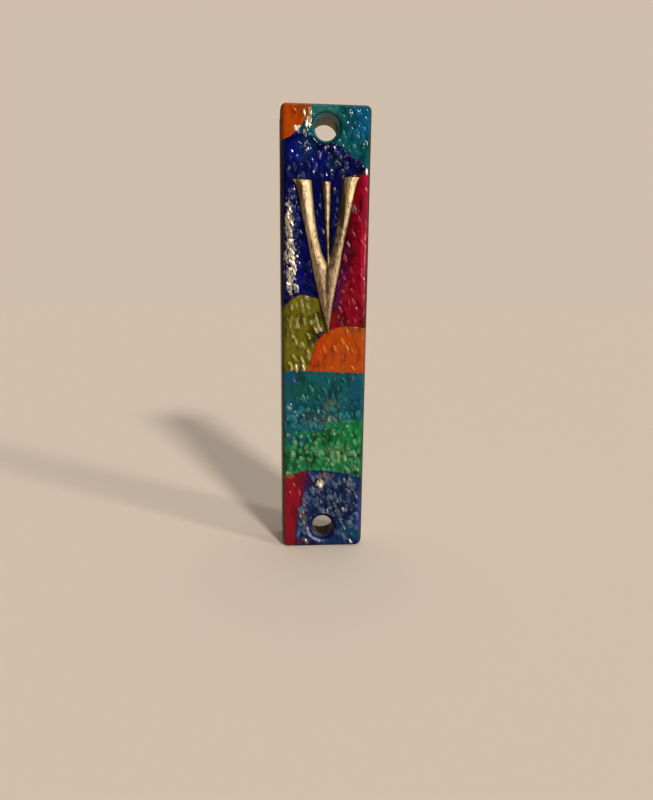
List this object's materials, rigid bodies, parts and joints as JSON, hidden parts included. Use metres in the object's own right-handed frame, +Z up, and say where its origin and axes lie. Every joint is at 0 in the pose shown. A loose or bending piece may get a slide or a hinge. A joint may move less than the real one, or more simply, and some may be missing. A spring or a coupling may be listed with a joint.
{
  "type": "mezuzah case",
  "caption": "Slim upright cast case with a painted relief front, a raised three-armed emblem, end screw holes and a sliding back plate over a rolled parchment.",
  "frame": {"origin": "on the back plane, midway between the two screw holes", "axes": "+Z up along the case, +Y out of the back towards the doorpost, -Y out of the front, +X to the right seen from the front"},
  "size_m": [0.0202, 0.0104, 0.1006],
  "materials": {
    "cast_pewter": "satin",
    "brushed_pewter": "satin",
    "sheet_pewter": "satin",
    "parchment": "matte",
    "clear_film": "gloss",
    "enamel_orange": "gloss",
    "enamel_teal": "gloss",
    "enamel_navy": "gloss",
    "enamel_crimson": "gloss",
    "enamel_olive": "gloss",
    "enamel_green": "gloss",
    "enamel_red": "gloss",
    "enamel_blue": "gloss"
  },
  "bodies": {
    "case": {"case_body": "cast_pewter", "shin_emblem": "brushed_pewter", "parchment_scroll": "parchment", "scroll_sleeve": "clear_film", "enamel_orange_corner": "enamel_orange", "enamel_teal_top": "enamel_teal", "enamel_navy": "enamel_navy", "enamel_crimson": "enamel_crimson", "enamel_olive": "enamel_olive", "enamel_orange_mid": "enamel_orange", "enamel_teal_band": "enamel_teal", "enamel_green_band": "enamel_green", "enamel_red_foot": "enamel_red", "enamel_blue_foot": "enamel_blue"},
    "cover": {"back_cover": "sheet_pewter"}
  },
  "joints": [
    {"name": "back_cover_slide", "type": "slide", "parent": "case", "child": "cover", "axis": [0, 0, 1], "range_m": [0, 0.08]}
  ]
}
